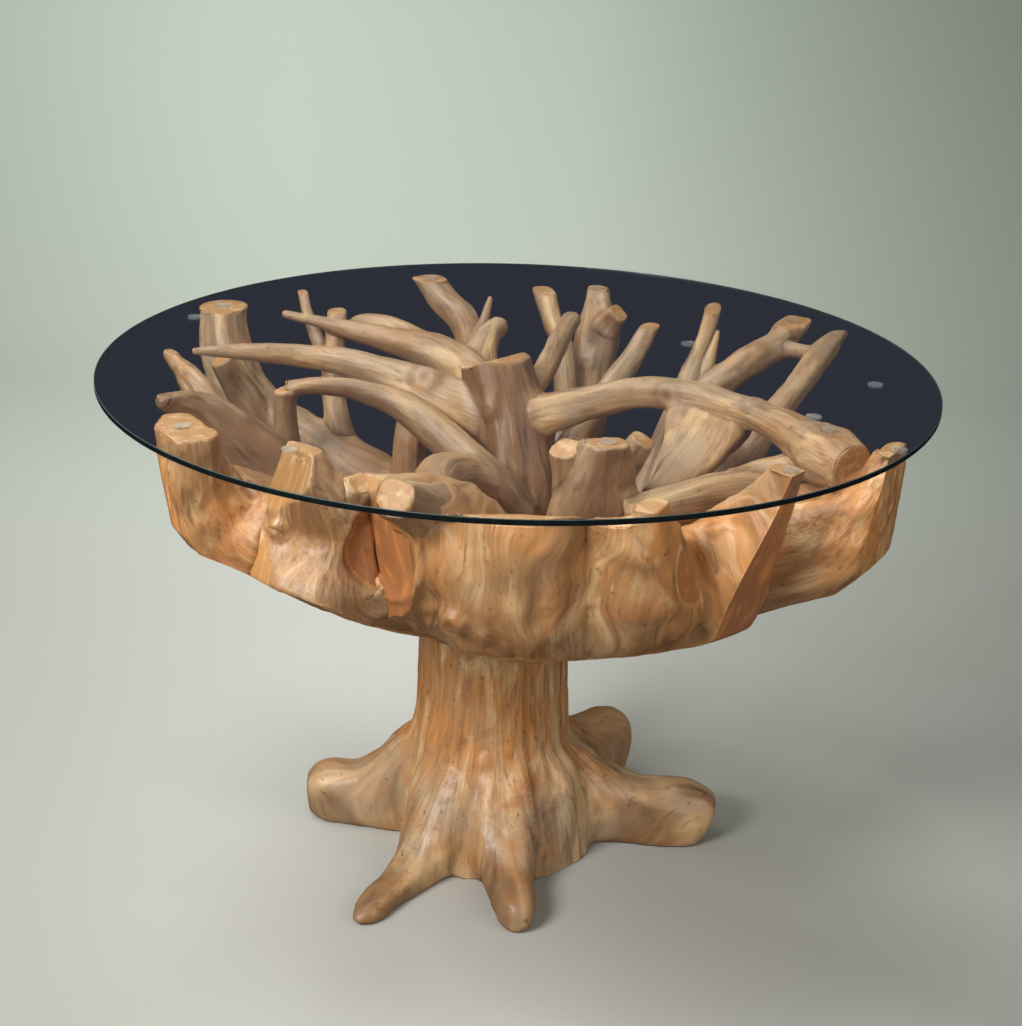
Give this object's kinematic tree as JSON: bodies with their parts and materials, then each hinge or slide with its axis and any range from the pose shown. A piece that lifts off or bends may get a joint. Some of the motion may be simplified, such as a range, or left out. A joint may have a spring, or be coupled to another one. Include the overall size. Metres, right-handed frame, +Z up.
{
  "type": "root base dining table",
  "caption": "Round dining table: a clear glass top resting on a bowl-shaped crown of natural roots, joined to a flared root stump.",
  "frame": {"origin": "on the floor under the centre of the round glass", "axes": "+Z up, +X to the right and -Y towards the viewer as the picture shows the table"},
  "size_m": [1.1998, 1.2, 0.76],
  "materials": {
    "glass": "polished",
    "clear_disc": "polished",
    "felt_pad": "matte",
    "steel": "satin",
    "dowel_wood": "matte",
    "stump_wood": "satin",
    "root_wood": "satin",
    "pale_wood": "satin"
  },
  "bodies": {
    "base": {"bearing_discs": "clear_disc", "floor_pads": "felt_pad", "foot_stump": "stump_wood", "crown_rods": "steel", "root_dowels": "dowel_wood", "stem": "root_wood", "slab_left": "root_wood", "slab_right_end": "root_wood", "slab_right": "root_wood", "lobe_front_right": "root_wood", "lobe_front": "root_wood", "lobe_front_left": "root_wood", "slab_rear_left": "pale_wood", "root_horn": "pale_wood", "lobe_left": "pale_wood", "block_left": "root_wood", "slab_rear": "pale_wood", "slab_rear_middle": "root_wood", "slab_right_rear": "root_wood", "block_front_right": "root_wood", "branch_front_right": "root_wood", "stub_front_right": "root_wood", "stub_front_left": "root_wood", "ridge_front_left": "pale_wood", "root_hub_left": "pale_wood", "root_ring": "pale_wood", "root_sharp_front": "pale_wood", "root_sharp_rear": "pale_wood", "stub_blunt": "pale_wood", "root_hump": "pale_wood", "root_arch": "pale_wood", "leg_arch": "pale_wood", "post_rear_left": "pale_wood", "stick_rear_left": "pale_wood", "strut_left": "pale_wood", "root_forked": "pale_wood", "spike_rear": "pale_wood", "branch_stem": "pale_wood", "stick_tilted": "pale_wood", "post_rear": "pale_wood", "stub_rear": "pale_wood", "stick_middle": "pale_wood", "root_right_rear": "pale_wood", "stick_right": "pale_wood", "stick_right_small": "pale_wood", "limb_right": "root_wood", "plate_right": "pale_wood", "log_low": "root_wood", "arm_low": "pale_wood", "post_diagonal": "pale_wood", "bridge_right": "pale_wood", "post_hub_left": "root_wood"},
    "glass": {"glass_top": "glass", "spare_discs": "clear_disc"}
  },
  "joints": [
    {"name": "glass_lift", "type": "slide", "parent": "base", "child": "glass", "axis": [0, 0, 1], "range_m": [0, 0.15]}
  ]
}
